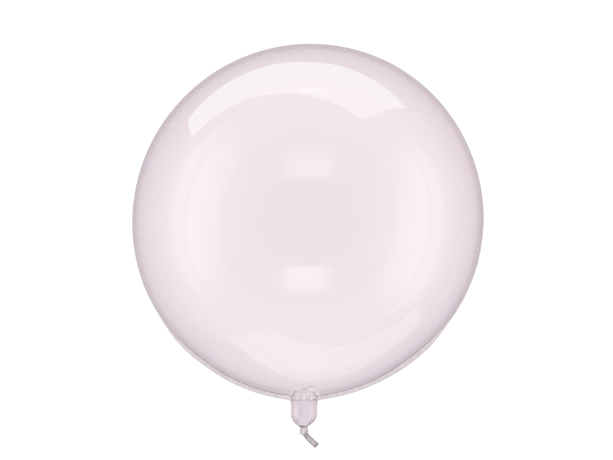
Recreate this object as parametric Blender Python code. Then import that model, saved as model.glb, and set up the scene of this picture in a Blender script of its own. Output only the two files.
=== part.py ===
"""A round balloon of clear film, lying on its side.

The balloon is one welded envelope: a ball, a seam all round it, a neck, a gathered pinch and a twisted tail.
It is sealed, so it is modelled as one solid. Metres, +Z up. The origin is the centre of the small flat spot
that the ball lies on. The neck points along -Y and the seam lies level, in the plane of X and Y.
"""
import math

import bmesh
import bpy
from mathutils import Vector

# The ball
BALL_RADIUS = 0.200
FLAT_RADIUS = 0.024
STRETCH = 0.009
STRETCH_ANGLE = math.radians(50)

# The shallow waist and the crown that the pull of the neck leaves in the ball, by angle from the neck
WAIST_DEPTH = 0.0026
WAIST_ANGLE = math.radians(38)
WAIST_SPREAD = math.radians(15)
CROWN_RISE = 0.0013
CROWN_SPREAD = math.radians(12)

# The welded seam: a thin bead all round that widens into a flange towards the neck
SEAM_THICKNESS = 0.0010
SEAM_BEAD = 0.0004
SEAM_FLANGE = 0.0054
SEAM_TRAIL = 0.0018
LEFT_FADE = (math.radians(40), math.radians(62))
RIGHT_FADE = (math.radians(42), math.radians(58))
TRAIL_FADE = (math.radians(75), math.radians(130))

# The flange's swell on the right side, by angle from the neck
SWELL_WIDTH = 0.0012
SWELL_ANGLE = math.radians(37)
SWELL_SPREAD = math.radians(10)

# The neck, from the crown of the ball to the pinch
NECK_RADIUS = 0.0145
NECK_SEAM = 0.0008
NECK_LENGTH = 0.0225
NECK_FILLET = 0.0045
TAPER_LENGTH = 0.0125
PINCH_RADIUS = 0.0032

# The tail beyond the pinch
TAIL_LENGTH = 0.0240
TAIL_DRIFT = 0.0157
TAIL_HALF_WIDTH = 0.0042
TAIL_HALF_THICKNESS = 0.0018
TAIL_TWIST = math.radians(180)
TAIL_SEAM = 0.0003

# Where the tail drifts aside, opens out, thins and rolls over, as shares of its length
DRIFT_SPAN = (0.18, 1.0)
OPENING_SPAN = (-0.05, 0.35)
THINNING_SPAN = (-0.1, 0.5)
ROLL_SPAN = (0.05, 0.75)
BEND_STEP = 0.02

# The gathers of the film at the pinch, and how full the neck's two shoulders are above it
PLEATS = 7
PLEAT_DEPTH = 0.16
LEFT_CURVE = 1.5
RIGHT_CURVE = 1.6
RIGHT_ROUNDING = 0.7
SIDE_BLEND = 0.5

# How finely the surface is divided
HALF_STEPS = 26
BALL_STEPS = 38
CROWDING = 1.25
FILLET_STEPS = 5
NECK_STEPS = 3
TAPER_STEPS = 8
TAIL_STEPS = 14
POLE_ANGLE = math.radians(178.6)
FLAT_STEPS = 3
FINE_REACH = 2.2
NORMAL_STEP = math.radians(0.5)
RIM_MERGE = 0.0010

BALL_CENTRE_Z = math.sqrt(BALL_RADIUS ** 2 - FLAT_RADIUS ** 2)
CROWN_Y = BALL_RADIUS + CROWN_RISE
FOOT_ANGLE = math.asin((NECK_RADIUS + NECK_FILLET) / CROWN_Y)
STRAIGHT_END_Y = CROWN_Y + NECK_LENGTH
PINCH_Y = STRAIGHT_END_Y + TAPER_LENGTH

FILM_COLOUR = (0.90, 0.78, 0.84, 1.0)
FILM_ROUGHNESS = 0.05


def smooth(value, low, high):
    """Rise smoothly from 0 at low to 1 at high."""
    share = min(max((value - low) / (high - low), 0.0), 1.0)
    return share * share * (3.0 - 2.0 * share)


def mix(start, end, share):
    """Blend two numbers."""
    return start + (end - start) * share


def ball_radius(angle):
    """Distance from the ball's centre to its film, by the angle from the neck."""
    waist = WAIST_DEPTH * math.exp(-((angle - WAIST_ANGLE) / WAIST_SPREAD) ** 2)
    crown = CROWN_RISE * math.exp(-(angle / CROWN_SPREAD) ** 2)
    return BALL_RADIUS - waist + crown


def profile_point(angle):
    """The ball's profile as a distance from the neck's axis and one along it, towards the neck."""
    radius = ball_radius(angle)
    return Vector((radius * math.sin(angle), radius * math.cos(angle)))


def profile_normal(angle):
    """The outward normal of the ball's profile."""
    along = profile_point(angle + NORMAL_STEP) - profile_point(angle - NORMAL_STEP)
    return Vector((-along.y, along.x)).normalized()


def seam_width(angle, right):
    """Width of the seam on the ball, by the angle from the neck, on the right or the left side."""
    if not right:
        return mix(SEAM_FLANGE, SEAM_BEAD, smooth(angle, *LEFT_FADE))
    swell = SWELL_WIDTH * math.exp(-((angle - SWELL_ANGLE) / SWELL_SPREAD) ** 2)
    trail = SEAM_TRAIL * (1.0 - smooth(angle, *TRAIL_FADE))
    return mix(SEAM_FLANGE + swell, SEAM_BEAD + trail, smooth(angle, *RIGHT_FADE))


def turned_ring(root, left_tip, right_tip):
    """One ring about the neck's axis, with the seam standing out of it on either side.

    The points are pairs: the distance from the axis and the distance along it.
    """
    half = SEAM_THICKNESS / 2.0
    gap = math.asin(half / root.x)
    angles = [mix(gap, math.pi - gap, step / HALF_STEPS) for step in range(HALF_STEPS + 1)]
    top = [Vector((root.x * math.cos(a), -root.y, root.x * math.sin(a))) for a in angles]
    bottom = [Vector((point.x, point.y, -point.z)) for point in reversed(top)]
    left = [Vector((-left_tip.x, -left_tip.y, side * half)) for side in (1.0, -1.0)]
    right = [Vector((right_tip.x, -right_tip.y, side * half)) for side in (-1.0, 1.0)]
    return top + left + bottom + right


def ball_rings():
    """Rings over the ball, from the far pole to the foot of the neck, closer together near the neck."""
    rings = []
    for step in range(BALL_STEPS + 1):
        angle = mix(POLE_ANGLE, FOOT_ANGLE, 1.0 - (1.0 - step / BALL_STEPS) ** CROWDING)
        root = profile_point(angle)
        normal = profile_normal(angle)
        left_tip = root + normal * seam_width(angle, right=False)
        right_tip = root + normal * seam_width(angle, right=True)
        rings.append(turned_ring(root, left_tip, right_tip))
    return rings


def neck_rings():
    """Rings round the fillet at the neck's foot and down its straight run."""
    start = profile_point(FOOT_ANGLE)
    tip_start = start + profile_normal(FOOT_ANGLE) * SEAM_FLANGE
    tip_fillet = NECK_FILLET - NECK_SEAM
    rings = []
    for step in range(1, FILLET_STEPS + 1):
        turn = math.radians(90) * step / FILLET_STEPS
        inward = math.sin(turn)
        down = 1.0 - math.cos(turn)
        root = Vector((start.x - NECK_FILLET * inward, start.y + NECK_FILLET * down))
        tip_side = mix(tip_start.x, start.x, step / FILLET_STEPS) - tip_fillet * inward
        tip = Vector((tip_side, tip_start.y + tip_fillet * down))
        rings.append(turned_ring(root, tip, tip))
    root_y = start.y + NECK_FILLET
    tip_y = tip_start.y + tip_fillet
    for step in range(1, NECK_STEPS + 1):
        share = step / NECK_STEPS
        root = Vector((NECK_RADIUS, mix(root_y, STRAIGHT_END_Y, share)))
        tip = Vector((NECK_RADIUS + NECK_SEAM, mix(tip_y, STRAIGHT_END_Y, share)))
        rings.append(turned_ring(root, tip, tip))
    return rings


def gathered_ring(centre, bend, roll, left, right, depth, seam, pleat):
    """One ring of gathered film: flattened, pleated and turned about the run of the tail.

    The ring's half width is left or right of its centre, depth is its half thickness, seam is how far the
    seam stands out, and pleat is the share by which the gathers cut in.
    """
    side = Vector((math.cos(bend), math.sin(bend), 0.0))
    up = Vector((0.0, 0.0, 1.0))
    across = side * math.cos(roll) + up * math.sin(roll)
    rise = up * math.cos(roll) - side * math.sin(roll)
    gap = SEAM_THICKNESS / 2.0 / NECK_RADIUS

    def place(angle, reach):
        width = mix(left, right, smooth(math.cos(angle), -SIDE_BLEND, SIDE_BLEND))
        fold = 1.0 - pleat * (0.5 - 0.5 * math.cos(PLEATS * angle))
        out = (width * fold + reach) * math.cos(angle)
        return centre + across * out + rise * (depth * fold * math.sin(angle))

    angles = [mix(gap, math.pi - gap, step / HALF_STEPS) for step in range(HALF_STEPS + 1)]
    top = [place(a, 0.0) for a in angles]
    bottom = [place(-a, 0.0) for a in reversed(angles)]
    left_tips = [place(math.pi - gap, seam), place(gap - math.pi, seam)]
    right_tips = [place(-gap, seam), place(gap, seam)]
    return top + left_tips + bottom + right_tips


def taper_rings():
    """Rings where the neck narrows to the pinch, with one shoulder rounder than the other."""
    rings = []
    for step in range(1, TAPER_STEPS + 1):
        share = step / TAPER_STEPS
        left = mix(NECK_RADIUS, PINCH_RADIUS, share ** LEFT_CURVE)
        right = mix(PINCH_RADIUS, NECK_RADIUS, (1.0 - share ** RIGHT_CURVE) ** RIGHT_ROUNDING)
        depth = mix(NECK_RADIUS, PINCH_RADIUS, smooth(share, 0.0, 1.0))
        seam = mix(NECK_SEAM, TAIL_SEAM, share)
        centre = Vector((0.0, -(STRAIGHT_END_Y + TAPER_LENGTH * share), 0.0))
        rings.append(gathered_ring(centre, 0.0, 0.0, left, right, depth, seam, PLEAT_DEPTH * share))
    return rings


def tail_centre(share):
    """The middle of the tail, which leaves the pinch straight and then drifts to the right."""
    return Vector((TAIL_DRIFT * smooth(share, *DRIFT_SPAN), -(PINCH_Y + TAIL_LENGTH * share), 0.0))


def tail_rings():
    """Rings of the tail, which opens out beyond the pinch into a flat strip and makes half a turn."""
    rings = []
    for step in range(1, TAIL_STEPS + 1):
        share = step / TAIL_STEPS
        after = min(share + BEND_STEP, 1.0)
        ahead = tail_centre(after) - tail_centre(after - 2.0 * BEND_STEP)
        bend = math.atan2(ahead.x, -ahead.y)
        width = mix(PINCH_RADIUS, TAIL_HALF_WIDTH, smooth(share, *OPENING_SPAN))
        depth = mix(PINCH_RADIUS, TAIL_HALF_THICKNESS, smooth(share, *THINNING_SPAN))
        roll = TAIL_TWIST * smooth(share, *ROLL_SPAN)
        centre = tail_centre(share)
        rings.append(gathered_ring(centre, bend, roll, width, width, depth, TAIL_SEAM, PLEAT_DEPTH))
    return rings


def cap_pole(mesh, ring):
    """Close the far pole with the seam running across it."""
    top = ring[:HALF_STEPS + 1]
    left_up, left_down = ring[HALF_STEPS + 1:HALF_STEPS + 3]
    bottom = ring[HALF_STEPS + 3:2 * HALF_STEPS + 4]
    right_down, right_up = ring[2 * HALF_STEPS + 4:]
    mesh.faces.new(top)
    mesh.faces.new([top[-1], top[0], right_up, left_up])
    mesh.faces.new([left_up, right_up, right_down, left_down])
    mesh.faces.new([left_down, right_down, bottom[-1], bottom[0]])
    mesh.faces.new(bottom)


def refine_underside(mesh):
    """Divide the film round the flat spot more finely and put the new points on the ball."""
    reach = FINE_REACH * FLAT_RADIUS
    near = [face for face in mesh.faces
            if face.calc_center_median().z < 0.0 and math.hypot(*face.calc_center_median().xy) < reach]
    edges = {edge for face in near for edge in face.edges}
    result = bmesh.ops.subdivide_edges(mesh, edges=list(edges), cuts=FLAT_STEPS - 1, use_grid_fill=True)
    for item in result["geom_inner"]:
        if isinstance(item, bmesh.types.BMVert):
            angle = item.co.angle(Vector((0.0, -1.0, 0.0)))
            item.co = item.co.normalized() * ball_radius(angle)


def stretch_evenly(mesh):
    """Lengthen everything a little along one slanting line and shorten it as much across."""
    long_way = Vector((math.cos(STRETCH_ANGLE), math.sin(STRETCH_ANGLE), 0.0))
    short_way = Vector((-long_way.y, long_way.x, 0.0))
    for vertex in mesh.verts:
        longer = long_way * (STRETCH * vertex.co.dot(long_way))
        shorter = short_way * (STRETCH * vertex.co.dot(short_way))
        vertex.co = vertex.co + longer - shorter


def cut_flat_spot(mesh):
    """Cut the underside level at the origin's height and make the spot's rim truly round."""
    everything = mesh.verts[:] + mesh.edges[:] + mesh.faces[:]
    bmesh.ops.bisect_plane(mesh, geom=everything, dist=1e-7, plane_co=(0.0, 0.0, 0.0),
                           plane_no=(0.0, 0.0, 1.0), clear_inner=True)
    rim = [vertex for vertex in mesh.verts if vertex.is_boundary]
    for vertex in rim:
        outward = Vector((vertex.co.x, vertex.co.y, 0.0)).normalized()
        vertex.co = outward * FLAT_RADIUS
    bmesh.ops.remove_doubles(mesh, verts=rim, dist=RIM_MERGE)
    open_edges = [edge for edge in mesh.edges if edge.is_boundary]
    bmesh.ops.holes_fill(mesh, edges=open_edges, sides=0)


def film_material():
    """Glossy pale film."""
    material = bpy.data.materials.new("clear_film")
    material.use_nodes = True
    shader = material.node_tree.nodes["Principled BSDF"]
    shader.inputs["Base Color"].default_value = FILM_COLOUR
    shader.inputs["Roughness"].default_value = FILM_ROUGHNESS
    shader.inputs["Metallic"].default_value = 0.0
    return material


def build_balloon():
    """Make the whole envelope as one closed body."""
    mesh = bmesh.new()
    rings = ball_rings() + neck_rings() + taper_rings() + tail_rings()
    loops = [[mesh.verts.new(point) for point in ring] for ring in rings]
    for near, far in zip(loops, loops[1:]):
        for index in range(len(near)):
            after = (index + 1) % len(near)
            mesh.faces.new([near[index], near[after], far[after], far[index]])
    cap_pole(mesh, loops[0])
    mesh.faces.new(loops[-1])
    refine_underside(mesh)
    stretch_evenly(mesh)
    bmesh.ops.translate(mesh, verts=mesh.verts, vec=(0.0, 0.0, BALL_CENTRE_Z))
    cut_flat_spot(mesh)
    bmesh.ops.triangulate(mesh, faces=mesh.faces)
    bmesh.ops.recalc_face_normals(mesh, faces=mesh.faces)
    data = bpy.data.meshes.new("balloon")
    mesh.to_mesh(data)
    mesh.free()
    data.shade_smooth()
    data.set_sharp_from_angle(angle=math.radians(40))
    data.materials.append(film_material())
    balloon = bpy.data.objects.new("balloon", data)
    bpy.context.scene.collection.objects.link(balloon)


def main():
    """Clear the scene and build the balloon."""
    for item in list(bpy.data.objects):
        bpy.data.objects.remove(item, do_unlink=True)
    build_balloon()


main()
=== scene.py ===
"""A round clear balloon that lies on a white floor and is seen from above.

The balloon is one envelope of thin clear film. Its front and back panels are welded together all round, the
weld widens into a flange towards the neck, and the neck is gathered to a pinch with a twisted tail beyond it.
"""
import logging
import math
from dataclasses import dataclass, field
from enum import Enum

import bpy
import numpy as np
from mathutils import Matrix, Vector


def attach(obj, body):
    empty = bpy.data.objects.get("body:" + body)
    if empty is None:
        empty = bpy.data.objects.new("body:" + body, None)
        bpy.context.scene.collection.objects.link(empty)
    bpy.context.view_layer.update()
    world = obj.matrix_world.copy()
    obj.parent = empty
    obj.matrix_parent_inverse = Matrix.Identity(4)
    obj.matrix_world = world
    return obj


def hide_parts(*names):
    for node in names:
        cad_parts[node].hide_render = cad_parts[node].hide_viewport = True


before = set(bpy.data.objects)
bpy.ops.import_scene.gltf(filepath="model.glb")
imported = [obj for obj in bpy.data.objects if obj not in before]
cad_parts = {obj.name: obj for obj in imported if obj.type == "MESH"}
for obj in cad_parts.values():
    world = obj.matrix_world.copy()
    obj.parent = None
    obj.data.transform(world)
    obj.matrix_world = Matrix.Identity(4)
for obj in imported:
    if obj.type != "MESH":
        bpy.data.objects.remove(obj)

LOG = logging.getLogger("round_balloon")
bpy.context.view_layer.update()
NODE = "balloon"
BODY = "root"
MM = 0.001

# The seam's strips of faces on either side of a ring, and the place across it that stands for them
SEAM_STRIPS = 4
SEAM_PLACE = 2.0

# More faces of film than light passes on its way from the ball's near wall, and fewer than from the far one
WALL_LIMIT = 2.5

Value = float | bpy.types.NodeSocket


class Side(Enum):
    """The two sides of the seam, named as the camera sees them."""

    LEFT = -1.0
    RIGHT = 1.0


class Finish(Enum):
    """The order of the envelope's finishes in its material slots."""

    FILM = 0
    WELD = 1
    NECK = 2
    PLEAT = 3
    GATHER_AND_CREASE_SHADE = 4
    FOLD = 5
    HEM = 6
    CREST_HIGHLIGHT = 7


class Join(Enum):
    """The ways to make one value of several."""

    PRODUCT = "MULTIPLY"
    TOTAL = "ADD"


def linear(colour: str) -> tuple[float, float, float, float]:
    """Turn an sRGB hex colour into a linear one.

    Args:
        colour: Six hex digits after a hash sign.

    Returns:
        Red, green, blue and an alpha of one.
    """
    channels = [int(colour[start:start + 2], 16) / 255.0 for start in (1, 3, 5)]
    red, green, blue = [
        value / 12.92 if value <= 0.04045 else ((value + 0.055) / 1.055) ** 2.4 for value in channels
    ]
    return red, green, blue, 1.0


def smooth(value: np.ndarray | float, low: float, high: float) -> np.ndarray | float:
    """Rise smoothly from 0 at low to 1 at high.

    Args:
        value: One number or an array.
        low: Where the rise starts.
        high: Where the rise ends.

    Returns:
        The height of the rise, as one number or an array.
    """
    share = np.clip((value - low) / (high - low), 0.0, 1.0)
    return share * share * (3.0 - 2.0 * share)


def mix(start: float, end: float, share: float) -> float:
    """Blend two numbers.

    Args:
        start: The number at a share of 0.
        end: The number at a share of 1.
        share: How far to go from start to end.

    Returns:
        The blend.
    """
    return start + (end - start) * share


def add_node(
    tree: bpy.types.NodeTree,
    kind: str,
    settings: dict[str, object] | None = None,
    links: dict[str | int, object] | None = None,
) -> bpy.types.Node:
    """Add a node with its settings and links.

    Args:
        tree: The node tree to add it to.
        kind: The node's type name.
        settings: Properties of the node by name.
        links: For each input, by name or place, a value or the output socket that feeds it.

    Returns:
        The new node.
    """
    node = tree.nodes.new(kind)
    for name, value in (settings or {}).items():
        setattr(node, name, value)
    for name, value in (links or {}).items():
        if isinstance(value, bpy.types.NodeSocket):
            tree.links.new(value, node.inputs[name])
        else:
            node.inputs[name].default_value = value
    return node


def new_material(name: str) -> tuple[bpy.types.Material, bpy.types.NodeTree, bpy.types.Node]:
    """Make a material with an empty tree and an output.

    Args:
        name: The material's name.

    Returns:
        The material, its tree and its output node.
    """
    material = bpy.data.materials.new(name)
    material.use_nodes = True
    tree = material.node_tree
    tree.nodes.clear()
    return material, tree, add_node(tree, "ShaderNodeOutputMaterial")


def rise(
    tree: bpy.types.NodeTree,
    value: Value,
    start: Value,
    end: Value,
    both_ways: bool = False,
) -> bpy.types.NodeSocket:
    """Turn a value into a weight that goes smoothly from 0 at start to 1 at end.

    Args:
        tree: The node tree.
        value: The value or its socket.
        start: Where the weight is 0. It may lie above the end.
        end: Where the weight is 1.
        both_ways: Whether the value counts without its sign.

    Returns:
        The weight's socket.
    """
    if both_ways:
        value = add_node(tree, "ShaderNodeMath", {"operation": "ABSOLUTE"}, {0: value}).outputs[0]
    return add_node(tree, "ShaderNodeMapRange", {"interpolation_type": "SMOOTHSTEP"}, {
        "Value": value,
        "From Min": start,
        "From Max": end,
    }).outputs[0]


def joined(tree: bpy.types.NodeTree, way: Join, *values: Value) -> bpy.types.NodeSocket:
    """Make one value of two or more.

    Args:
        tree: The node tree.
        way: How they are joined.
        values: The values or their sockets.

    Returns:
        The result's socket.
    """
    result = values[0]
    for value in values[1:]:
        result = add_node(tree, "ShaderNodeMath", {"operation": way.value}, {0: result, 1: value}).outputs[0]
    return result


def reach_along(tree: bpy.types.NodeTree, vector: bpy.types.NodeSocket, turn: float) -> bpy.types.NodeSocket:
    """Measure how far a vector reaches along a level direction.

    Args:
        tree: The node tree.
        vector: The vector's socket.
        turn: How far the direction is turned from +X, in radians.

    Returns:
        The reach's socket. It is negative the other way.
    """
    return add_node(tree, "ShaderNodeVectorMath", {"operation": "DOT_PRODUCT"}, {
        0: vector,
        1: (math.cos(turn), math.sin(turn), 0.0),
    }).outputs["Value"]


@dataclass(frozen=True)
class StretchedFilm:
    """Clear cast polyurethane film, blown out to a ball.

    Clear, very glossy and faintly pink. The film thins as it stretches, so it is all but colourless in the
    middle of each panel and round the neck. Close to the weld's height it turns grey mauve: partly the
    thicker film there, and mostly painted shade for the dark edge that the ball shows from above.
    """

    name: str = "stretched_polyurethane_film"
    middle: str = "#FCF6F9"
    shoulder: str = "#FAF3F7"
    # Grey mauve at the weld's height: partly the film's own tint, mostly painted shade of the ball's edge.
    rim_tint_and_shade: str = "#D5CFD2"
    ior: float = 1.49
    roughness: float = 0.0
    rim_height: float = 0.05
    shoulder_height: float = 0.17
    middle_height: float = 0.45
    clear_mm: tuple[float, float] = (55.0, 14.0)
    ripple_mm: float = 45.0
    ripple_detail: float = 1.0
    ripple_depth_mm: float = 0.03

    def build(self, middle_z: float, radius: float) -> bpy.types.Material:
        """Make the material.

        Args:
            middle_z: Height of the welded seam.
            radius: The ball's radius.

        Returns:
            The film.
        """
        material, tree, output = new_material(self.name)
        place = add_node(tree, "ShaderNodeTexCoord")
        axes = add_node(tree, "ShaderNodeSeparateXYZ", links={0: place.outputs["Object"]})
        above = add_node(tree, "ShaderNodeMath", {"operation": "SUBTRACT"}, {
            0: axes.outputs["Z"],
            1: middle_z,
        })
        reach = add_node(tree, "ShaderNodeMath", {"operation": "ABSOLUTE"}, {0: above.outputs[0]})
        share = add_node(tree, "ShaderNodeMath", {"operation": "DIVIDE"}, {0: reach.outputs[0], 1: radius})
        to_neck = add_node(tree, "ShaderNodeVectorMath", {"operation": "DISTANCE"}, {
            0: place.outputs["Object"],
            1: (0.0, -radius, middle_z),
        }).outputs["Value"]
        near_neck = rise(tree, to_neck, *[reach_mm * MM for reach_mm in self.clear_mm])
        clear = joined(tree, Join.PRODUCT, near_neck, self.shoulder_height)
        height = add_node(tree, "ShaderNodeMath", {"operation": "MAXIMUM"}, {0: share.outputs[0], 1: clear})
        # The ramp paints the film darker by its height over the weld: partly the thicker film there, mostly
        # painted shade for the dark edge of the ball seen from above.
        ramp = add_node(tree, "ShaderNodeValToRGB", links={0: height.outputs[0]})
        stops = ramp.color_ramp.elements
        stops[0].position = self.rim_height
        stops[0].color = linear(self.rim_tint_and_shade)
        stops[1].position = self.middle_height
        stops[1].color = linear(self.middle)
        stops.new(self.shoulder_height).color = linear(self.shoulder)
        ripple = add_node(tree, "ShaderNodeTexNoise", links={
            "Vector": place.outputs["Object"],
            "Scale": 1.0 / (self.ripple_mm * MM),
            "Detail": self.ripple_detail,
        })
        bump = add_node(tree, "ShaderNodeBump", links={
            "Height": ripple.outputs[0],
            "Strength": 1.0,
            "Distance": self.ripple_depth_mm * MM,
        })
        shader = add_node(tree, "ShaderNodeBsdfPrincipled", links={
            "Base Color": ramp.outputs["Color"],
            "Roughness": self.roughness,
            "IOR": self.ior,
            "Transmission Weight": 1.0,
            "Normal": bump.outputs["Normal"],
        })
        tree.links.new(shader.outputs[0], output.inputs["Surface"])
        return material


@dataclass(frozen=True)
class PatchyFilm:
    """Clear cast polyurethane film that the air hasn't stretched evenly, so its tint varies in soft patches.

    A patch stretch under 1 draws the patches out along the balloon's axis.
    """

    name: str
    colour: str
    shade: str
    roughness: float
    patch_mm: float
    ior: float = 1.49
    patch_stretch: float = 1.0
    patch_detail: float = 2.0
    shade_span: tuple[float, float] = (0.35, 0.65)
    relief_mm: float = 0.0

    def build(self) -> bpy.types.Material:
        """Make the film's material.

        Returns:
            The film, with relief only if it has a depth.
        """
        material, tree, output = new_material(self.name)
        place = add_node(tree, "ShaderNodeTexCoord")
        drawn = add_node(tree, "ShaderNodeMapping", links={
            "Vector": place.outputs["Object"],
            "Scale": (1.0, self.patch_stretch, 1.0),
        })
        patches = add_node(tree, "ShaderNodeTexNoise", links={
            "Vector": drawn.outputs[0],
            "Scale": 1.0 / (self.patch_mm * MM),
            "Detail": self.patch_detail,
        })
        ramp = add_node(tree, "ShaderNodeValToRGB", links={0: patches.outputs[0]})
        tints = (self.shade, self.colour)
        for stop, position, tint in zip(ramp.color_ramp.elements, self.shade_span, tints):
            stop.position = position
            stop.color = linear(tint)
        shader = add_node(tree, "ShaderNodeBsdfPrincipled", links={
            "Base Color": ramp.outputs["Color"],
            "Roughness": self.roughness,
            "IOR": self.ior,
            "Transmission Weight": 1.0,
        })
        if self.relief_mm:
            bump = add_node(tree, "ShaderNodeBump", links={
                "Height": patches.outputs[0],
                "Strength": 1.0,
                "Distance": self.relief_mm * MM,
            })
            tree.links.new(bump.outputs["Normal"], shader.inputs["Normal"])
        tree.links.new(shader.outputs[0], output.inputs["Surface"])
        return material


@dataclass(frozen=True)
class WeldedFilm(PatchyFilm):
    """Two layers of the film, welded by heat.

    Twice as thick and slightly clouded by the heat, so it reads as a pale grey mauve band.
    """

    name: str = "heat_welded_film"
    colour: str = "#DCD3D8"
    shade: str = "#CFC5CB"
    roughness: float = 0.08
    patch_mm: float = 6.0
    patch_detail: float = 3.0


@dataclass(frozen=True)
class UnstretchedFilm(PatchyFilm):
    """The film of the neck, which the air hardly stretches.

    It is thicker than on the ball, so its pink cast shows more, and it keeps faint ripples from the cutting.
    A paler copy of the same film is painted on the crests of the puckers at the neck's foot as painted
    highlights.
    """

    name: str = "unstretched_polyurethane_film"
    colour: str = "#F1EAEE"
    shade: str = "#EAE1E6"
    roughness: float = 0.02
    patch_mm: float = 9.0
    patch_detail: float = 1.0
    shade_span: tuple[float, float] = (0.3, 0.6)
    relief_mm: float = 0.08


@dataclass(frozen=True)
class GatheredFilm(PatchyFilm):
    """Unstretched film in pleats, gathers, folds or a roll, several layers deep.

    Each layer takes a little light, so the film looks greyer the more layers there are. The dark streaks of
    its shade colour are painted shade for its creases; real creases are finer than a millimetre, and these
    are drawn coarser so that they show.
    """

    roughness: float = 0.10
    patch_mm: float = 2.5
    patch_stretch: float = 0.25
    shade_span: tuple[float, float] = (0.38, 0.55)


@dataclass(frozen=True)
class FaintLine:
    """A thin bright or dark arc round the middle, which the film mirrors as a hairline.

    Its full share is the share of its spread over which it keeps its full strength.
    """

    away: float
    half_width: float
    turn: float
    spread: float
    strength: float
    full_share: float = 0.6

    def build(self, tree: bpy.types.NodeTree, place: bpy.types.NodeSocket) -> bpy.types.NodeSocket:
        """Make the strength of the arc by place.

        Args:
            tree: The node tree.
            place: Level place about the middle.

        Returns:
            The strength's socket.
        """
        away = add_node(tree, "ShaderNodeVectorMath", {"operation": "LENGTH"}, {0: place}).outputs["Value"]
        off = add_node(tree, "ShaderNodeMath", {"operation": "SUBTRACT"}, {0: away, 1: self.away}).outputs[0]
        ends = [self.away * math.cos(turn) for turn in (self.spread, self.full_share * self.spread)]
        return joined(
            tree,
            Join.PRODUCT,
            rise(tree, off, self.half_width, 0.0, both_ways=True),
            rise(tree, reach_along(tree, place, self.turn), *ends),
            self.strength,
        )


@dataclass(frozen=True)
class LampImage:
    """The lamp as one wall of the ball mirrors it.

    Inner is where it fades in on the side of the ball's middle, and outer where it fades out again.
    """

    strength: float
    inner: tuple[float, float]
    outer: tuple[float, float]


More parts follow.
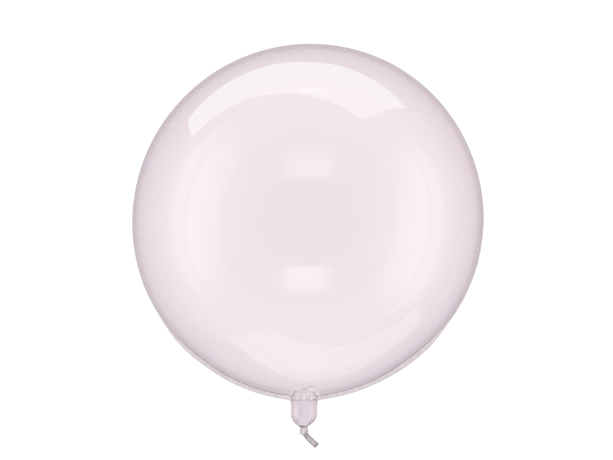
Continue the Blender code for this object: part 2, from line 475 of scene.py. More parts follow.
@dataclass(frozen=True)
class MirroredLight:
    """What the film mirrors of the studio: an even dim room with two strip lights and a small lamp.

    The strip lights stand low on either side, and the lamp hangs high beyond the far side of the ball. Places
    in the room are given by where the top of a ball mirrors them, in shares of its radius from its middle.
    The floor is dim under the ball, light round it and dim again further off, with a light patch under the
    neck. Places on the floor are in metres from the point under the ball's middle.
    """

    room: float = 0.417
    strip: float = 0.54
    strip_axis: float = math.radians(-5)
    strip_rise: tuple[float, float] = (0.32, 0.66)
    strip_end: tuple[float, float] = (0.62, 0.26)
    strip_foot: tuple[float, float] = (0.9, 3.5)
    strip_foot_span: tuple[float, float] = (math.radians(41), math.radians(20))
    near_lamp: LampImage = LampImage(1.0, (0.208, 0.252), (0.43, 0.265))
    far_lamp: LampImage = LampImage(1.8, (0.250, 0.298), (0.52, 0.32))
    lamp_end: tuple[float, float] = (0.20, 0.05)
    floor_shade: float = 0.56
    floor_light: float = 0.70
    floor_far: float = 0.42
    shade_edge: tuple[float, float] = (0.21, 0.29)
    light_edge: tuple[float, float] = (0.32, 0.80)
    patch: float = 0.66
    patch_side: tuple[float, float] = (0.028, 0.016)
    patch_near: tuple[float, float] = (0.215, 0.235)
    patch_far: tuple[float, float] = (0.43, 0.37)
    room_line: FaintLine = FaintLine(0.667, 0.012, math.radians(157), math.radians(22), -0.30)
    floor_lines: tuple[FaintLine, ...] = (
        FaintLine(1.02, 0.08, math.radians(-139), math.radians(20), 0.16),
        FaintLine(0.84, 0.06, math.radians(-24), math.radians(18), -0.12),
    )

    def in_room(self, tree: bpy.types.NodeTree) -> bpy.types.NodeSocket:
        """Make the strength of the room by direction.

        Args:
            tree: The sky's node tree.

        Returns:
            The strength's socket.
        """
        place = add_node(tree, "ShaderNodeTexCoord").outputs["Generated"]
        way = add_node(tree, "ShaderNodeVectorMath", {"operation": "NORMALIZE"}, {0: place}).outputs[0]
        half_way = add_node(tree, "ShaderNodeVectorMath", {"operation": "ADD"}, {
            0: way,
            1: (0.0, 0.0, 1.0),
        }).outputs[0]
        spot = add_node(tree, "ShaderNodeVectorMath", {"operation": "NORMALIZE"}, {0: half_way}).outputs[0]
        across_strips = reach_along(tree, spot, self.strip_axis)
        along_strips = reach_along(tree, spot, self.strip_axis + math.pi / 2.0)
        strips = joined(
            tree,
            Join.PRODUCT,
            rise(tree, across_strips, *self.strip_rise, both_ways=True),
            rise(tree, along_strips, *self.strip_end, both_ways=True),
            self.strip,
        )
        beyond = reach_along(tree, spot, math.pi / 2.0)
        near, far = self.near_lamp, self.far_lamp
        lamp = joined(
            tree,
            Join.PRODUCT,
            rise(tree, beyond, *[by_wall(tree, *ends) for ends in zip(near.inner, far.inner)]),
            rise(tree, beyond, *[by_wall(tree, *ends) for ends in zip(near.outer, far.outer)]),
            rise(tree, reach_along(tree, spot, 0.0), *self.lamp_end, both_ways=True),
            by_wall(tree, near.strength, far.strength),
        )
        level = add_node(tree, "ShaderNodeVectorMath", {"operation": "MULTIPLY"}, {
            0: spot,
            1: (1.0, 1.0, 0.0),
        }).outputs[0]
        return joined(tree, Join.TOTAL, strips, lamp, self.room_line.build(tree, level), self.room)

    def on_floor(self, tree: bpy.types.NodeTree) -> bpy.types.NodeSocket:
        """Make the strength of the floor by place, without the patch under the neck.

        Args:
            tree: The floor's node tree.

        Returns:
            The strength's socket.
        """
        place = add_node(tree, "ShaderNodeTexCoord").outputs["Object"]
        away = add_node(tree, "ShaderNodeVectorMath", {"operation": "LENGTH"}, {0: place}).outputs["Value"]
        unit = add_node(tree, "ShaderNodeVectorMath", {"operation": "NORMALIZE"}, {0: place}).outputs[0]
        beside = reach_along(tree, unit, self.strip_axis)
        foot_span = [math.cos(turn) for turn in self.strip_foot_span]
        foot = joined(
            tree,
            Join.PRODUCT,
            rise(tree, away, *self.strip_foot),
            rise(tree, beside, *foot_span, both_ways=True),
            self.strip,
        )
        lighter = self.floor_light - self.floor_shade
        dimmer = self.floor_far - self.floor_light
        lit = joined(tree, Join.PRODUCT, rise(tree, away, *self.shade_edge), lighter)
        dimmed = joined(tree, Join.PRODUCT, rise(tree, away, *self.light_edge), dimmer)
        lines = [line.build(tree, place) for line in self.floor_lines]
        return joined(tree, Join.TOTAL, foot, lit, dimmed, *lines, self.floor_shade)

    def on_patch(self, tree: bpy.types.NodeTree) -> bpy.types.NodeSocket:
        """Make the strength of the patch under the neck by place.

        Args:
            tree: The floor's node tree.

        Returns:
            The strength's socket.
        """
        place = add_node(tree, "ShaderNodeTexCoord").outputs["Object"]
        before = reach_along(tree, place, -math.pi / 2.0)
        return joined(
            tree,
            Join.PRODUCT,
            rise(tree, reach_along(tree, place, 0.0), *self.patch_side, both_ways=True),
            rise(tree, before, *self.patch_near),
            rise(tree, before, *self.patch_far),
            self.patch,
        )


def mirrored(tree: bpy.types.NodeTree) -> bpy.types.NodeSocket:
    """Tell light that something glossy mirrored from light that is seen straight or through the film.

    Args:
        tree: The node tree.

    Returns:
        The socket of a weight that is 1 for mirrored light.
    """
    path = add_node(tree, "ShaderNodeLightPath")
    return add_node(tree, "ShaderNodeMath", {"operation": "MINIMUM"}, {
        0: path.outputs["Glossy Depth"],
        1: 1.0,
    }).outputs[0]


def from_near_wall(tree: bpy.types.NodeTree) -> bpy.types.NodeSocket:
    """Tell what the ball's near wall mirrors from what its far wall does.

    The light passes two faces of film on its way from the near wall, and more from the far one.

    Args:
        tree: The node tree.

    Returns:
        The socket of a weight that is 1 for the near wall and 0 for the far one.
    """
    path = add_node(tree, "ShaderNodeLightPath")
    return add_node(tree, "ShaderNodeMath", {"operation": "LESS_THAN"}, {
        0: path.outputs["Transmission Depth"],
        1: WALL_LIMIT,
    }).outputs[0]


def by_wall(tree: bpy.types.NodeTree, near: float, far: float) -> bpy.types.NodeSocket:
    """Choose between two values by the wall of the ball that mirrors.

    Args:
        tree: The node tree.
        near: The value for what the near wall mirrors.
        far: The value for what the far wall mirrors.

    Returns:
        The socket of the value chosen.
    """
    return add_node(tree, "ShaderNodeMapRange", links={
        "Value": from_near_wall(tree),
        "To Min": far,
        "To Max": near,
    }).outputs[0]


@dataclass(frozen=True)
class PaintedFloor:
    """A matt white studio board, lit evenly round the balloon.

    It is pure white to the eye. The film mirrors it darker and slightly pink, as the light that leaves the
    balloon tints it.
    """

    name: str = "matt_white_board"
    colour: str = "#808080"
    glow: str = "#FFFFFF"
    mirrored_glow: str = "#FFF2F9"
    patch_glow: str = "#DAFFE9"
    glow_strength: float = 0.909

    def build(self, light: MirroredLight) -> bpy.types.Material:
        """Make the floor's material.

        Args:
            light: What the film mirrors.

        Returns:
            The board.
        """
        material, tree, output = new_material(self.name)
        board = add_node(tree, "ShaderNodeBsdfDiffuse", links={"Color": linear(self.colour)})
        glow = add_node(tree, "ShaderNodeEmission", links={
            "Color": linear(self.glow),
            "Strength": self.glow_strength,
        })
        seen = add_node(tree, "ShaderNodeAddShader", links={0: board.outputs[0], 1: glow.outputs[0]})
        dim = add_node(tree, "ShaderNodeEmission", links={
            "Color": linear(self.mirrored_glow),
            "Strength": light.on_floor(tree),
        })
        patch = add_node(tree, "ShaderNodeEmission", links={
            "Color": linear(self.patch_glow),
            "Strength": light.on_patch(tree),
        })
        below = add_node(tree, "ShaderNodeAddShader", links={0: dim.outputs[0], 1: patch.outputs[0]})
        both = add_node(tree, "ShaderNodeMixShader", links={
            0: mirrored(tree),
            1: seen.outputs[0],
            2: below.outputs[0],
        })
        tree.links.new(both.outputs[0], output.inputs["Surface"])
        material.cycles.emission_sampling = "NONE"
        return material


@dataclass(frozen=True)
class SoftboxFace:
    """The cloth face of a softbox, which gives an even, slightly cool white.

    It shows only where the ball's near wall mirrors it.
    """

    name: str = "softbox_cloth"
    colour: str = "#E6FFF7"
    strength: float = 1.30

    def build(self) -> bpy.types.Material:
        """Make the face's material.

        Returns:
            The cloth.
        """
        material, tree, output = new_material(self.name)
        glow = add_node(tree, "ShaderNodeEmission", links={
            "Color": linear(self.colour),
            "Strength": self.strength,
        })
        clear = add_node(tree, "ShaderNodeBsdfTransparent")
        face = add_node(tree, "ShaderNodeMixShader", links={
            0: joined(tree, Join.PRODUCT, mirrored(tree), from_near_wall(tree)),
            1: clear.outputs[0],
            2: glow.outputs[0],
        })
        tree.links.new(face.outputs[0], output.inputs["Surface"])
        material.cycles.emission_sampling = "NONE"
        return material


@dataclass
class Skin:
    """A closed skin made of rings of points, each joined to the next.

    Every ring has as many points as the others. Each strip of faces between two points next to each other in
    the ring has a finish of its own.
    """

    rings: list[np.ndarray] = field(default_factory=list)
    bands: list[np.ndarray] = field(default_factory=list)

    def add(self, ring: np.ndarray, band: np.ndarray) -> None:
        """Add one ring of points.

        Args:
            ring: The points.
            band: The material slot of each face between this ring and the one before it.
        """
        self.rings.append(ring)
        self.bands.append(band)

    def slots(self) -> list[int]:
        """List the material slot of each face, in the faces' order."""
        between = np.concatenate(self.bands[1:]).tolist()
        return [*between, int(self.bands[0][0]), int(self.bands[-1][0])]

    def faces(self, first: int, inward: bool) -> list[tuple[int, ...]]:
        """List the skin's faces.

        Args:
            first: The number of the skin's first point in the whole mesh.
            inward: Whether the faces look inwards.

        Returns:
            The faces, each as the numbers of its points. The two caps come last.
        """
        size = len(self.rings[0])
        result = []
        for row in range(len(self.rings) - 1):
            start = first + row * size
            for index in range(size):
                after = (index + 1) % size
                result.append((start + index, start + after, start + size + after, start + size + index))
        last = first + (len(self.rings) - 1) * size
        result.append(tuple(range(first + size - 1, first - 1, -1)))
        result.append(tuple(range(last, last + size)))
        if inward:
            result = [tuple(reversed(face)) for face in result]
        return result


def paint(sides: np.ndarray, middle: Finish, edge: Finish, beyond: float = 1.0) -> np.ndarray:
    """Choose the finishes of a ring's strips by their place across it.

    Args:
        sides: The place of each strip, from -1 at one edge to 1 at the other, and further out on the seam.
        middle: The finish in the middle.
        edge: The finish at both edges.
        beyond: Where the edges start.

    Returns:
        The material slot of each strip.
    """
    return np.where(np.abs(sides) > beyond, edge.value, middle.value)


@dataclass
class Ball:
    """The blown ball, with the shallow waist and the low crown that the pull of the neck leaves in it.

    It is a little longer one way than the other, and pressed flat where it lies.
    """

    radius: float = 0.1998
    flat_radius: float = 0.024
    stretch: float = 0.009
    stretch_angle: float = math.radians(50)
    waist_depth: float = 0.0026
    waist_angle: float = math.radians(38)
    waist_spread: float = math.radians(15)
    crown_rise: float = 0.0013
    crown_spread: float = math.radians(12)
    pole_angle: float = math.radians(179.5)
    slope_step: float = math.radians(0.25)
    press_blend: float = 0.0004

    @property
    def centre_z(self) -> float:
        """Height of the ball's centre over the floor."""
        return math.sqrt(self.radius ** 2 - self.flat_radius ** 2)

    @property
    def crown_y(self) -> float:
        """Distance from the ball's centre to the crown that the neck grows from."""
        return self.radius + self.crown_rise

    def profile(self, angle: float) -> np.ndarray:
        """Find a point of the profile.

        Args:
            angle: The angle from the neck.

        Returns:
            The distance from the axis and along it.
        """
        waist = self.waist_depth * math.exp(-((angle - self.waist_angle) / self.waist_spread) ** 2)
        crown = self.crown_rise * math.exp(-(angle / self.crown_spread) ** 2)
        radius = self.radius - waist + crown
        return np.array([radius * math.sin(angle), radius * math.cos(angle)])

    def normal(self, angle: float) -> np.ndarray:
        """Find the profile's outward normal.

        Args:
            angle: The angle from the neck.

        Returns:
            The normal, away from the axis and along it.
        """
        along = self.profile(angle + self.slope_step) - self.profile(angle - self.slope_step)
        out = np.array([-along[1], along[0]])
        return out / np.linalg.norm(out)

    def settle(self, points: np.ndarray, wall: float) -> np.ndarray:
        """Stretch points as the ball is stretched, lift them to their height and press the underside flat.

        Args:
            points: Points about the ball's centre.
            wall: Thickness of the film below them.

        Returns:
            The points in the frame of the part.
        """
        long_way = np.array([math.cos(self.stretch_angle), math.sin(self.stretch_angle), 0.0])
        short_way = np.array([-long_way[1], long_way[0], 0.0])
        moved = points + self.stretch * np.outer(points @ long_way, long_way)
        moved = moved - self.stretch * np.outer(points @ short_way, short_way)
        height = moved[:, 2] + self.centre_z - wall
        moved[:, 2] = 0.5 * (height + np.sqrt(height ** 2 + self.press_blend ** 2)) + wall
        return moved


@dataclass
class Seam:
    """The weld that joins the two panels: a bead all round that widens to a flange towards the neck.

    Its edge has three points, at heights that are shares of half its thickness.
    """

    thickness: float = 0.0010
    bead: float = 0.0004
    flange: float = 0.0054
    trail: float = 0.0018
    left_fade: tuple[float, float] = (math.radians(40), math.radians(62))
    right_fade: tuple[float, float] = (math.radians(42), math.radians(58))
    trail_fade: tuple[float, float] = (math.radians(75), math.radians(130))
    swell: float = 0.0012
    swell_angle: float = math.radians(37)
    swell_spread: float = math.radians(10)
    edge_heights: tuple[float, float, float] = (0.8, 0.0, -0.8)

    def width(self, angle: float, side: Side) -> float:
        """How far the seam stands out of the ball.

        Args:
            angle: The angle from the neck.
            side: Which side of the ball.

        Returns:
            The width.
        """
        if side is Side.LEFT:
            return mix(self.flange, self.bead, smooth(angle, *self.left_fade))
        swell = self.swell * math.exp(-((angle - self.swell_angle) / self.swell_spread) ** 2)
        trail = self.trail * (1.0 - smooth(angle, *self.trail_fade))
        return mix(self.flange + swell, self.bead + trail, smooth(angle, *self.right_fade))


@dataclass
class Neck:
    """The neck that the balloon is filled through, from the crown to where the gathers start."""

    radius: float = 0.0145
    seam: float = 0.0008
    length: float = 0.0225
    fillet: float = 0.0045
    taper: float = 0.0139
    pinch_radius: float = 0.0032
    left_curve: float = 2.2
    right_curve: float = 2.0
    right_rounding: float = 1.25
    thickening: float = 2.0
    pleats_from: float = 0.35
    pleats_beyond: float = 0.62
    gathers_from: float = 0.86
    crease_y: float = 0.2058
    crease_half_width: float = 0.0006
    crease_depth: float = 0.0004
    pucker_y: float = 0.2032
    pucker_half_width: float = 0.0016
    pucker_depth: float = 0.0006
    puckers: int = 10
    pucker_crest: float = 0.5
    pucker_reach: float = 0.8

    def relief(self, along: float, angles: np.ndarray) -> np.ndarray:
        """Height of the crease round the neck's foot and of the puckers above it.

        Args:
            along: Distance from the ball's centre along the neck.
            angles: Angles round the neck.

        Returns:
            How far the film stands in or out at each angle.
        """
        crease = self.crease_depth * math.exp(-((along - self.crease_y) / self.crease_half_width) ** 2)
        pucker = self.pucker_depth * math.exp(-((along - self.pucker_y) / self.pucker_half_width) ** 2)
        return -pucker * np.cos(self.puckers * angles) * np.sin(angles) ** 2 - crease

    def film_at(self, along: float, sides: np.ndarray) -> np.ndarray:
        """Choose the finishes round the neck's foot: paler film painted on the puckers' crests as highlights,
        and darker gathered film painted in the crease as shade.

        Args:
            along: Distance from the ball's centre along the neck.
            sides: The place of each strip across the neck.

        Returns:
            The material slot of each strip.
        """
        # Painted shade: a ring of darker gathered film draws the dark line of the crease.
        if abs(along - self.crease_y) < self.crease_half_width:
            return np.full(sides.shape, Finish.GATHER_AND_CREASE_SHADE.value)
        if along > self.crease_y:
            return np.full(sides.shape, Finish.NECK.value)
        # Painted highlight: paler film on the crests of the puckers.
        inside = np.clip(sides, -1.0, 1.0)
        crest_highlight = np.cos(self.puckers * np.arccos(inside)) < -self.pucker_crest
        near = abs(along - self.pucker_y) < self.pucker_half_width
        pale = crest_highlight & near & (np.abs(sides) < self.pucker_reach)
        return np.where(pale, Finish.CREST_HIGHLIGHT.value, paint(sides, Finish.NECK, Finish.WELD))

    def taper_film_at(self, share: float, sides: np.ndarray) -> np.ndarray:
        """Choose the finishes of the taper.

        Args:
            share: The share of its length.
            sides: The place of each strip across it.

        Returns:
            The material slot of each strip.
        """
        if share > self.gathers_from:
            return np.where(sides < 0.0, Finish.FOLD.value, Finish.GATHER_AND_CREASE_SHADE.value)
        if share > self.pleats_from:
            return paint(sides, Finish.NECK, Finish.PLEAT, self.pleats_beyond)
        return np.full(sides.shape, Finish.NECK.value)


@dataclass
class Tail:
    """The strip of film beyond the pinch, which makes half a turn as it drifts to the right.

    Its spans are shares of its length.
    """

    length: float = 0.0205
    drift: float = 0.0156
    knee: float = 0.33
    knee_blend: float = 0.22
    lobes: tuple[float, float] = (0.0027, 0.0010)
    lobe_opening: tuple[float, float] = (-0.05, 0.15)
    lobe_closing: tuple[float, float] = (0.24, 0.55)
    side_blend: tuple[float, float] = (-0.5, 0.5)
    thinning_span: tuple[float, float] = (0.1, 0.8)
    roll_span: tuple[float, float] = (0.18, 0.58)
    bend_step: float = 0.02
    half_width: float = 0.0031
    half_thickness: float = 0.0026
    twist: float = math.radians(180)
    seam: float = 0.0003
    pleats: int = 7
    pleat_depth: float = 0.16
    edges_beyond: float = 0.72
    hem_from: float = 0.46
    end_from: float = 0.93

    def centre(self, share: float, start_y: float) -> np.ndarray:
        """Find the middle of the tail.

        Args:
            share: The share of its length.
            start_y: Distance from the ball's centre to the pinch.

        Returns:
            The place about the ball's centre.
        """
        past = (share - self.knee) / (1.0 - self.knee)
        across = self.drift * 0.5 * (past + math.hypot(past, self.knee_blend))
        return np.array([across, -(start_y + self.length * share), 0.0])

    def widths(self, share: float, start: float) -> tuple[float, float]:
        """Work out how wide the tail is: a lobe past the pinch, then a narrower strip.

        Args:
            share: The share of its length.
            start: The half width at the pinch.

        Returns:
            The half widths to the left and to the right.
        """
        width = mix(start, self.half_width, float(smooth(share, *self.lobe_opening)))
        lobe = float(smooth(share, *self.lobe_opening)) - float(smooth(share, *self.lobe_closing))
        return width + self.lobes[0] * lobe, width + self.lobes[1] * lobe

    def film_at(self, share: float, sides: np.ndarray) -> np.ndarray:
        """Choose the finishes of the tail.

        Args:
            share: The share of its length.
            sides: The place of each strip across it.

        Returns:
            The material slot of each strip.
        """
        if share > self.end_from:
            return np.full(sides.shape, Finish.HEM.value)
        if share < self.knee:
            return paint(sides, Finish.GATHER_AND_CREASE_SHADE, Finish.FOLD, self.edges_beyond)
        edge = Finish.HEM if share > self.hem_from else Finish.FOLD
        return paint(sides, Finish.FOLD, edge, self.edges_beyond)


@dataclass
class Envelope:
    """The whole balloon as one shell of film with a real outer and inner face."""

    ball: Ball = field(default_factory=Ball)
    seam: Seam = field(default_factory=Seam)
    neck: Neck = field(default_factory=Neck)
    tail: Tail = field(default_factory=Tail)
    film: StretchedFilm = StretchedFilm()
    weld: WeldedFilm = WeldedFilm()
    unstretched: UnstretchedFilm = UnstretchedFilm()
    # The second colour of each gathered film is painted shade for the dark lines of its creases.
    gathered: tuple[GatheredFilm, ...] = (
        GatheredFilm("pleated_polyurethane_film", "#E9E0E4", "#DFD5DA"),
        GatheredFilm("gathered_film_and_crease_shade", "#DACFD4", "#CBC0C5"),
        GatheredFilm("folded_polyurethane_film", "#C4B9BD", "#B8ADB1"),
        GatheredFilm("rolled_polyurethane_film", "#A2989C", "#958B90"),
    )
    # A paler copy of the neck's film, painted on the puckers' crests as highlights.
    crest_highlight: UnstretchedFilm = UnstretchedFilm("pucker_highlight_film", "#FAF5F8", "#F6F0F3")
    wall: float = 0.00025
    sharp_angle: float = math.radians(50)
    half_steps: int = 96
    ball_steps: int = 150
    crowding: float = 1.2
    fillet_steps: int = 12
    neck_steps: int = 48
    taper_steps: int = 16
    tail_steps: int = 32

    def sides(self, plain: bool = False) -> np.ndarray:
        """Tell where the strips of a ring lie.

        Args:
            plain: Whether it is a ring of the inner face.

        Returns:
            The place of each strip across the ring, from -1 at one edge to 1 at the other, and further out on
            the seam.
        """
        if plain:
            return np.cos((np.arange(2 * self.half_steps) + 0.5) * math.pi / self.half_steps)
        top = np.cos((np.arange(self.half_steps) + 0.5) * math.pi / self.half_steps)
        seam = np.full(SEAM_STRIPS, SEAM_PLACE)
        return np.concatenate([top, -seam, top[::-1], seam])

    def turned_ring(self, root: np.ndarray, left_tip: np.ndarray, right_tip: np.ndarray) -> np.ndarray:
        """Make one ring about the neck's axis, with the seam standing out of it on either side.

        Args:
            root: Distance from the axis and along it.
            left_tip: The same for the seam's left edge.
            right_tip: The same for the seam's right edge.

        Returns:
            The ring's points about the ball's centre.
        """
        half = self.seam.thickness / 2.0
        gap = math.asin(min(half / root[0], 1.0))
        angles = np.linspace(gap, math.pi - gap, self.half_steps + 1)
        reach = root[0] + self.neck.relief(root[1], angles)
        away = np.full(angles.shape, -root[1])
        top = np.stack([reach * np.cos(angles), away, reach * np.sin(angles)], 1)
        bottom = top[::-1] * (1.0, 1.0, -1.0)
        heights = self.seam.edge_heights
        left = np.array([[-left_tip[0], -left_tip[1], half * height] for height in heights])
        right = np.array([[right_tip[0], -right_tip[1], half * height] for height in heights[::-1]])
        return np.concatenate([top, left, bottom, right])

    def plain_ring(self, root: np.ndarray) -> np.ndarray:
        """Make one ring of the inner face, which has no seam.

        Args:
            root: Distance from the axis and along it.

        Returns:
            The ring's points about the ball's centre.
        """
        angles = np.linspace(0.0, 2.0 * math.pi, 2 * self.half_steps, endpoint=False)
        reach = root[0] + self.neck.relief(root[1], angles)
        away = np.full(angles.shape, -root[1])
        return np.stack([reach * np.cos(angles), away, reach * np.sin(angles)], 1)

    def gathered_ring(
        self,
        centre: np.ndarray,
        turn: tuple[float, float],
        widths: tuple[float, float],
        depth: float,
        seam: float,
        pleat: float,
        plain: bool = False,
    ) -> np.ndarray:
        """Make one ring of gathered film: flattened, pleated and turned about the run of the tail.

        Args:
            centre: The ring's middle.
            turn: The bend of the tail and the roll of the film about it, in radians.
            widths: Half widths to the left and to the right.
            depth: Half thickness.
            seam: How far the seam stands out.
            pleat: The share by which the gathers cut in.
            plain: Whether it is a ring of the inner face.

        Returns:
            The ring's points about the ball's centre.
        """
        bend, roll = turn
        side = np.array([math.cos(bend), math.sin(bend), 0.0])
        up = np.array([0.0, 0.0, 1.0])
        across = side * math.cos(roll) + up * math.sin(roll)
        upward = up * math.cos(roll) - side * math.sin(roll)
        gap = self.seam.thickness / 2.0 / self.neck.radius

        def place(angles: np.ndarray, reach: float) -> np.ndarray:
            """Place points of the ring.

            Args:
                angles: Their angles round the ring.
                reach: How far they stand out to the side.

            Returns:
                The points.
            """
            share = smooth(np.cos(angles), *self.tail.side_blend)
            width = widths[0] + (widths[1] - widths[0]) * share
            fold = 1.0 - pleat * (0.5 - 0.5 * np.cos(self.tail.pleats * angles))
            out = (width * fold + reach) * np.cos(angles)
            return centre + np.outer(out, across) + np.outer(depth * fold * np.sin(angles), upward)

        if plain:
            return place(np.linspace(0.0, 2.0 * math.pi, 2 * self.half_steps, endpoint=False), 0.0)
        angles = np.linspace(gap, math.pi - gap, self.half_steps + 1)
        top = place(angles, 0.0)
        bottom = place(-angles[::-1], 0.0)
        left = place(np.array([math.pi - gap, math.pi, gap - math.pi]), seam)
        right = place(np.array([-gap, 0.0, gap]), seam)
        return np.concatenate([top, left, bottom, right])

    def add_ball(self, outer: Skin, inner: Skin) -> None:
        """Add the ball's rings, from the far pole to the foot of the neck.

        Args:
            outer: The outer face.
            inner: The inner face.
        """
        foot = math.asin((self.neck.radius + self.neck.fillet) / self.ball.crown_y)
        for step in range(self.ball_steps + 1):
            angle = mix(self.ball.pole_angle, foot, 1.0 - (1.0 - step / self.ball_steps) ** self.crowding)
            root = self.ball.profile(angle)
            normal = self.ball.normal(angle)
            left_tip = root + normal * self.seam.width(angle, Side.LEFT)
            right_tip = root + normal * self.seam.width(angle, Side.RIGHT)
            ring = self.turned_ring(root, left_tip, right_tip)
            inside = root - normal * self.wall
            outer.add(ring, paint(self.sides(), Finish.FILM, Finish.WELD))
            inner.add(self.plain_ring(inside), np.full(2 * self.half_steps, Finish.FILM.value))

    def add_neck(self, outer: Skin, inner: Skin) -> None:
        """Add the rings of the fillet at the neck's foot and of its straight run.

        Args:
            outer: The outer face.
            inner: The inner face.
        """
        neck = self.neck
        foot = math.asin((neck.radius + neck.fillet) / self.ball.crown_y)
        start = self.ball.profile(foot)
        tip_start = start + self.ball.normal(foot) * self.seam.flange
        tip_fillet = neck.fillet - neck.seam
        for step in range(1, self.fillet_steps + 1):
            turn = math.radians(90) * step / self.fillet_steps
            down = 1.0 - math.cos(turn)
            root_x = start[0] - neck.fillet * math.sin(turn)
            root = np.array([root_x, start[1] + neck.fillet * down])
            tip_x = mix(tip_start[0], start[0], step / self.fillet_steps) - tip_fillet * math.sin(turn)
            tip = np.array([tip_x, tip_start[1] + tip_fillet * down])
            inside = root - self.wall * np.array([math.sin(turn), math.cos(turn)])
            outer.add(self.turned_ring(root, tip, tip), neck.film_at(root[1], self.sides()))
            inner.add(self.plain_ring(inside), neck.film_at(root[1], self.sides(True)))
        straight_end = self.ball.crown_y + neck.length
        root_y = start[1] + neck.fillet
        tip_y = tip_start[1] + tip_fillet
        for step in range(1, self.neck_steps + 1):
            share = step / self.neck_steps
            root = np.array([neck.radius, mix(root_y, straight_end, share)])
            tip = np.array([neck.radius + neck.seam, mix(tip_y, straight_end, share)])
            inside = root - np.array([self.wall, 0.0])
            outer.add(self.turned_ring(root, tip, tip), neck.film_at(root[1], self.sides()))
            inner.add(self.plain_ring(inside), neck.film_at(root[1], self.sides(True)))

    def add_taper(self, outer: Skin, inner: Skin) -> None:
        """Add the rings where the neck narrows to the pinch, with one shoulder rounder than the other.

        Args:
            outer: The outer face.
            inner: The inner face, which ends before the pinch.
        """
        neck = self.neck
        straight_end = self.ball.crown_y + neck.length
        for step in range(1, self.taper_steps + 1):
            share = step / self.taper_steps
            left = mix(neck.radius, neck.pinch_radius, share ** neck.left_curve)
            rounding = (1.0 - share ** neck.right_curve) ** neck.right_rounding
            right = mix(neck.pinch_radius, neck.radius, rounding)
            depth = mix(neck.radius, neck.pinch_radius, float(smooth(share, 0.0, 1.0)))
            centre = np.array([0.0, -(straight_end + neck.taper * share), 0.0])
            pleat = self.tail.pleat_depth * share
            seam = mix(neck.seam, self.tail.seam, share)
            ring = self.gathered_ring(centre, (0.0, 0.0), (left, right), depth, seam, pleat)
            outer.add(ring, neck.taper_film_at(share, self.sides()))
            if step < self.taper_steps:
                thick = self.wall * (1.0 + neck.thickening * share)
                inside = (left - thick, right - thick)
                ring = self.gathered_ring(centre, (0.0, 0.0), inside, depth - thick, 0.0, pleat, plain=True)
                inner.add(ring, neck.taper_film_at(share, self.sides(True)))

    def add_tail(self, outer: Skin) -> None:
        """Add the rings of the tail, which opens out into a flat strip and makes half a turn.

        Args:
            outer: The outer face. The tail has no inner one.
        """
        pinch_y = self.ball.crown_y + self.neck.length + self.neck.taper
        tail = self.tail
        for step in range(1, self.tail_steps + 1):
            share = step / self.tail_steps
            after = min(share + tail.bend_step, 1.0)
            ahead = tail.centre(after, pinch_y) - tail.centre(after - 2.0 * tail.bend_step, pinch_y)
            bend = math.atan2(ahead[0], -ahead[1])
            thinning = float(smooth(share, *tail.thinning_span))
            depth = mix(self.neck.pinch_radius, tail.half_thickness, thinning)
            roll = tail.twist * float(smooth(share, *tail.roll_span))
            widths = tail.widths(share, self.neck.pinch_radius)
            centre = tail.centre(share, pinch_y)
            ring = self.gathered_ring(centre, (bend, roll), widths, depth, tail.seam, tail.pleat_depth)
            outer.add(ring, tail.film_at(share, self.sides()))

    def build(self) -> bpy.types.Object:
        """Make the envelope.

        Returns:
            The balloon, in place of the node of that name.
        """
        outer = Skin()
        inner = Skin()
        self.add_ball(outer, inner)
        self.add_neck(outer, inner)
        self.add_taper(outer, inner)
        self.add_tail(outer)
        outer_points = self.ball.settle(np.concatenate(outer.rings), 0.0)
        inner_points = self.ball.settle(np.concatenate(inner.rings), self.wall)
        faces = outer.faces(0, inward=False) + inner.faces(len(outer_points), inward=True)
        data = bpy.data.meshes.new("balloon_envelope")
        data.from_pydata(np.concatenate([outer_points, inner_points]).tolist(), [], faces)
        data.polygons.foreach_set("material_index", outer.slots() + inner.slots())
        for material in (
            self.film.build(self.ball.centre_z, self.ball.radius),
            self.weld.build(),
            self.unstretched.build(),
            *[film.build() for film in self.gathered],
            self.crest_highlight.build(),
        ):
            data.materials.append(material)
        data.shade_smooth()
        data.set_sharp_from_angle(angle=self.sharp_angle)
        data.validate()
        envelope = bpy.data.objects.new("balloon_envelope", data)
        bpy.context.scene.collection.objects.link(envelope)
        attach(envelope, BODY)
        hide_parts(NODE)
        return envelope


@dataclass
class Softbox:
    """A softbox that stands on edge beside the ball, out of the camera's view.

    Its outline is given across and upwards, as it stands.
    """

    name: str
    distance: float
    outline: tuple[tuple[float, float], ...]
    face: SoftboxFace

    def build(self) -> bpy.types.Object:
        """Make the softbox's face.

        Returns:
            The face, which lights nothing and shows only where the film mirrors it.
        """
        points = [(across, self.distance, height) for across, height in self.outline]
        data = bpy.data.meshes.new(self.name)
        data.from_pydata(points, [], [tuple(range(len(points)))])
        data.materials.append(self.face.build())
        panel = bpy.data.objects.new(self.name, data)
        bpy.context.scene.collection.objects.link(panel)
        panel.visible_camera = False
        panel.visible_diffuse = False
        panel.visible_shadow = False
        return panel


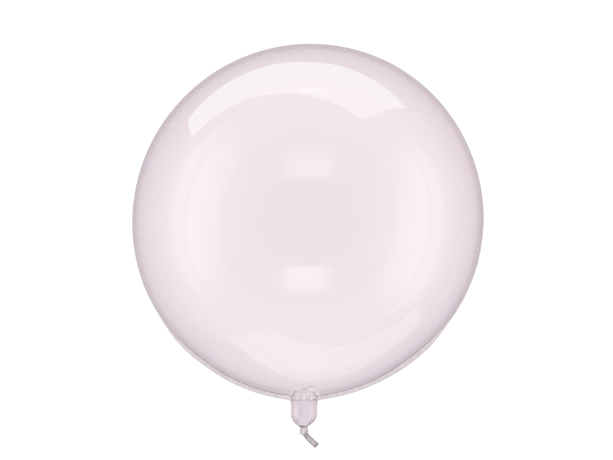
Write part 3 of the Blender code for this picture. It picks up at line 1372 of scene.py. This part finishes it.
@dataclass
class Studio:
    """The white floor, the soft sky of the studio, the two softboxes and the camera."""

    floor_size: float = 12.0
    floor_drop: float = 0.0002
    sky_colour: str = "#FFFFFF"
    sky_strength: float = 1.0
    camera_height: float = 2.2
    clip_start: float = 0.01
    sensor: float = 36.0
    view_width: float = 0.7003
    look_at: tuple[float, float] = (-0.0011, -0.0118)
    roll: float = math.radians(0.55)
    glossy_bounces: int = 12
    transmission_bounces: int = 24
    floor: PaintedFloor = PaintedFloor()
    light: MirroredLight = MirroredLight()
    softboxes: tuple[Softbox, ...] = (
        Softbox(
            name="softbox_beyond",
            distance=0.40,
            outline=((-0.480, 0.003), (-0.010, 0.155), (0.348, 0.190), (0.210, 0.440), (-0.577, 0.177)),
            face=SoftboxFace(),
        ),
        Softbox(
            name="softbox_before",
            distance=-0.40,
            outline=(
                (-0.142, 0.402),
                (-0.247, 0.226),
                (-0.110, 0.180),
                (0.006, 0.122),
                (0.435, 0.055),
                (0.510, 0.199),
                (0.098, 0.297),
            ),
            face=SoftboxFace(colour="#FFFFFF", strength=0.77),
        ),
    )

    def add_floor(self) -> None:
        """Lay the white floor."""
        half = self.floor_size / 2.0
        data = bpy.data.meshes.new("studio_floor")
        corners = [(-half, -half, 0.0), (half, -half, 0.0), (half, half, 0.0), (-half, half, 0.0)]
        data.from_pydata(corners, [], [(0, 1, 2, 3)])
        data.materials.append(self.floor.build(self.light))
        board = bpy.data.objects.new("studio_floor", data)
        board.location.z = -self.floor_drop
        bpy.context.scene.collection.objects.link(board)

    def add_sky(self) -> None:
        """Hang the soft light of the studio over the floor."""
        sky = bpy.data.worlds.new("soft_studio")
        sky.use_nodes = True
        tree = sky.node_tree
        tree.nodes.clear()
        output = add_node(tree, "ShaderNodeOutputWorld")
        open_sky = add_node(tree, "ShaderNodeBackground", links={
            "Color": linear(self.sky_colour),
            "Strength": self.sky_strength,
        })
        room = add_node(tree, "ShaderNodeBackground", links={
            "Color": linear(self.sky_colour),
            "Strength": self.light.in_room(tree),
        })
        both = add_node(tree, "ShaderNodeMixShader", links={
            0: mirrored(tree),
            1: open_sky.outputs[0],
            2: room.outputs[0],
        })
        tree.links.new(both.outputs[0], output.inputs["Surface"])
        bpy.context.scene.world = sky

    def add_camera(self, middle_z: float) -> None:
        """Hang the camera straight over the balloon, far off, as the photograph shows hardly any perspective.

        Args:
            middle_z: Height of the ball's centre.
        """
        data = bpy.data.cameras.new("camera")
        data.sensor_width = self.sensor
        data.lens = self.sensor * self.camera_height / self.view_width
        data.clip_start = self.clip_start
        camera = bpy.data.objects.new("camera", data)
        place = Vector((self.look_at[0], self.look_at[1], middle_z + self.camera_height))
        camera.matrix_world = Matrix.Translation(place) @ Matrix.Rotation(self.roll, 4, "Z")
        bpy.context.scene.collection.objects.link(camera)
        bpy.context.scene.camera = camera

    def build(self, middle_z: float) -> None:
        """Set up the studio.

        Args:
            middle_z: Height of the ball's centre.
        """
        self.add_floor()
        self.add_sky()
        for softbox in self.softboxes:
            softbox.build()
        self.add_camera(middle_z)
        scene = bpy.context.scene
        scene.view_settings.view_transform = "Standard"
        scene.cycles.max_bounces = self.transmission_bounces
        scene.cycles.glossy_bounces = self.glossy_bounces
        scene.cycles.transmission_bounces = self.transmission_bounces
        scene.cycles.use_denoising = True


def main() -> None:
    """Build the balloon and the studio round it."""
    logging.basicConfig(level=logging.INFO, format="%(message)s")
    envelope = Envelope()
    piece = envelope.build()
    LOG.info("%s: %d faces", piece.name, len(piece.data.polygons))
    Studio().build(envelope.ball.centre_z)
    LOG.info("studio: floor, sky, two softboxes and camera")


if __name__ == "__main__":
    main()
